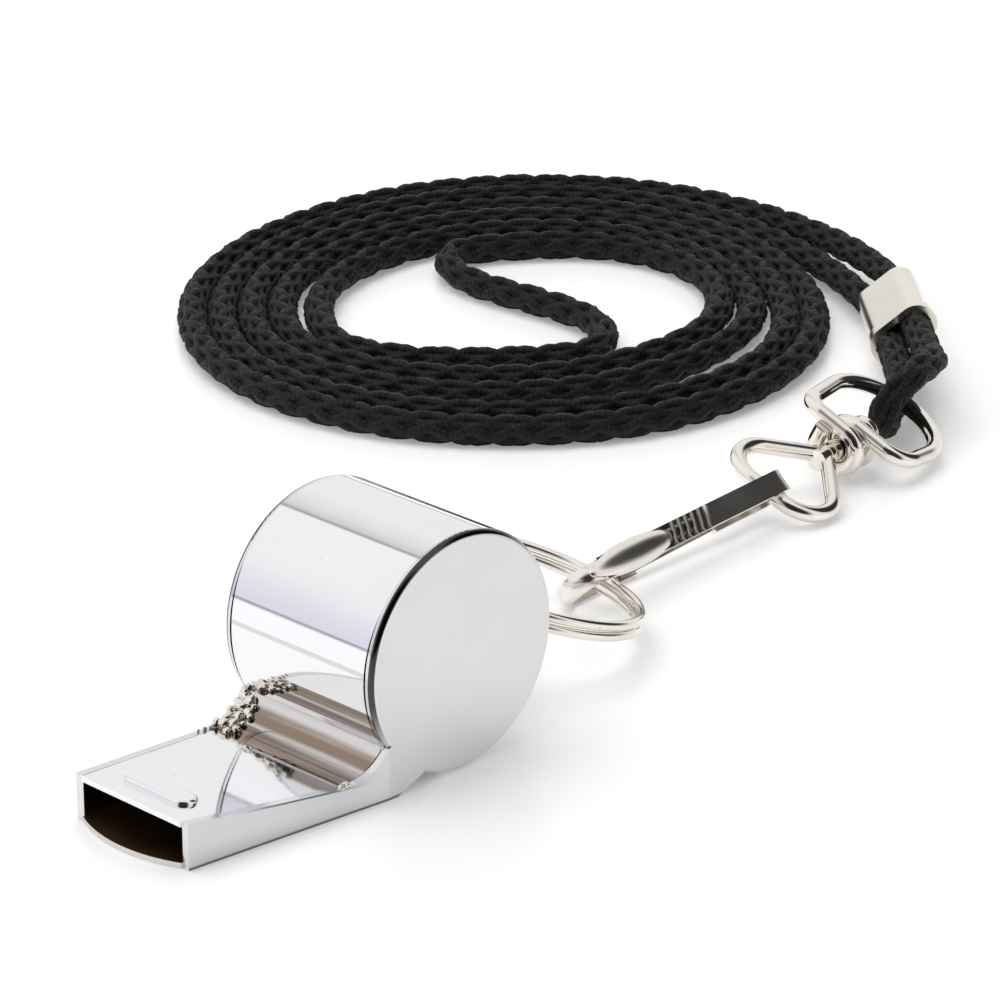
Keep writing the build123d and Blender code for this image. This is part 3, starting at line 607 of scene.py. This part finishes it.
def corkMaterial():
    material, tree, shader = newMaterial("cork")
    shader["Roughness"].default_value = cork["roughness"]
    place = surface(tree, "Object")
    grain = cells(tree, place, cork["grainScale"])
    pits = noise(tree, place, cork["pitScale"])
    ramp = addNode(tree, "ShaderNodeValToRGB")
    for stop, tone in zip(ramp.color_ramp.elements, ("dark", "light")):
        stop.color = cork[tone]
        stop.position = cork[tone + "At"]
    plug(tree, maths(tree, "MULTIPLY_ADD", grain, cork["grainShare"], pits), ramp.inputs["Fac"])
    tree.links.new(ramp.outputs["Color"], shader["Base Color"])
    addBump(tree, shader, pits, cork["bump"], cork["pitDepth"])
    return material


wear(corkMaterial(), "cork_pea")
print("metal and cork finished")


# white acrylic table
table = {"size": 3.0, "level": -0.00003, "colour": (0.80, 0.80, 0.80, 1), "lift": 0.22,
         "roughness": 0.28, "specular": 0.35}


def tableMaterial():
    material, tree, shader = newMaterial("whiteAcrylic")
    shader["Base Color"].default_value = table["colour"]
    shader["Roughness"].default_value = table["roughness"]
    shader["Specular IOR Level"].default_value = table["specular"]
    shader["Emission Color"].default_value = (1, 1, 1, 1)
    ray = addNode(tree, "ShaderNodeLightPath").outputs
    mirrored = maths(tree, "MAXIMUM", ray["Is Glossy Ray"], ray["Is Transmission Ray"])
    seen = maths(tree, "MAXIMUM", ray["Is Camera Ray"], mirrored)
    plug(tree, maths(tree, "MULTIPLY", seen, table["lift"]), shader["Emission Strength"])
    return material


bpy.ops.mesh.primitive_plane_add(size=table["size"], location=(0, 0, table["level"]))
tableTop = bpy.context.object
tableTop.name = "tableTop"
tableTop.data.materials.append(tableMaterial())

# what the metal mirrors: pale walls with a dark edge straight behind (degrees round, grey), a
# bluish haze low at the left, the table's far edge, and two dark openings
room = {
    "ambient": 0.5, "horizon": (0.79, 0.79, 0.88, 1), "horizonRise": (0.0, 0.58),
    "horizonLeft": (-30, 0), "edge": (0.0, 0.03, 0.004), "edgeDepth": 0.45,
    "round": [(-90, 0.95), (-45, 0.98), (9, 1.0), (11, 0.34), (14, 0.70), (22, 0.84),
              (36, 0.95), (46, 0.93), (60, 0.9), (90, 0.9)],
    "dark": [
        {"side": (-0.60, -0.72, 0.42), "fade": (0.66, 0.90), "left": 0.03},
        {"side": (0.80, -0.36, 0.52), "fade": (0.84, 0.95), "left": 0.04},
    ],
}


def roomWorld():
    world = bpy.data.worlds.new("paleRoom")
    world.use_nodes = True
    scene.world = world
    tree = world.node_tree
    back = tree.nodes["Background"]
    heading = surface(tree, "Generated")
    part = apart(tree, heading)
    turn = maths(tree, "MULTIPLY", maths(tree, "ARCTAN2", part["X"], part["Y"]), inDegrees)
    walls = addNode(tree, "ShaderNodeValToRGB")
    ramp = walls.color_ramp
    while len(ramp.elements) < len(room["round"]):
        ramp.elements.new(0.5)
    for stop, (degree, grey) in zip(ramp.elements, room["round"]):
        stop.position = (degree + 90) / 180
        stop.color = (grey, grey, grey, 1)
    plug(tree, maths(tree, "MULTIPLY_ADD", turn, 1 / 180, 0.5), walls.inputs["Fac"])
    clear = maths(tree, "MAXIMUM", mapRange(tree, part["Z"], room["horizonRise"]),
                  mapRange(tree, turn, room["horizonLeft"]))
    low = mixColours(tree, clear, room["horizon"], walls.outputs["Color"])
    edgeLine = between(tree, part["Z"], *room["edge"])
    shade = maths(tree, "MULTIPLY_ADD", edgeLine, -room["edgeDepth"], 1.0)
    for opening in room["dark"]:
        towards = vectorMaths(tree, "DOT_PRODUCT", heading, Vector(opening["side"]).normalized())
        fade = mapRange(tree, towards, opening["fade"], (1.0, opening["left"]))
        shade = maths(tree, "MULTIPLY", fade, shade)
    ray = addNode(tree, "ShaderNodeLightPath").outputs
    mirrored = maths(tree, "MAXIMUM", ray["Is Glossy Ray"], ray["Is Transmission Ray"])
    seen = maths(tree, "MAXIMUM", ray["Is Camera Ray"], mirrored)
    shaded = vectorMaths(tree, "SCALE", low, scale=shade)
    tree.links.new(mixColours(tree, mirrored, (1, 1, 1, 1), shaded), back.inputs["Color"])
    unseen = maths(tree, "MULTIPLY", maths(tree, "SUBTRACT", 1.0, seen), room["ambient"])
    plug(tree, maths(tree, "ADD", seen, unseen), back.inputs["Strength"])


roomWorld()

softBoxes = [
    {"name": "overhead", "place": (0.05, 0.25, 0.75), "aim": (0.04, 0.02, 0), "size": (0.9, 0.7),
     "power": 4.2},
    {"name": "leftFill", "place": (-0.75, 0.20, 0.45), "aim": (0.02, 0.0, 0.01), "size": (0.5, 0.6),
     "power": 1.6},
]
for box in softBoxes:
    lamp = bpy.data.lights.new(box["name"], "AREA")
    lamp.shape = "RECTANGLE"
    lamp.size, lamp.size_y = box["size"]
    lamp.energy = box["power"]
    lampObject = bpy.data.objects.new(box["name"], lamp)
    lampObject.location = box["place"]
    beam = Vector(box["aim"]) - Vector(box["place"])
    lampObject.rotation_euler = beam.to_track_quat("-Z", "Y").to_euler()
    lampObject.visible_glossy = False
    collection.objects.link(lampObject)
print("table, room and soft boxes ready")
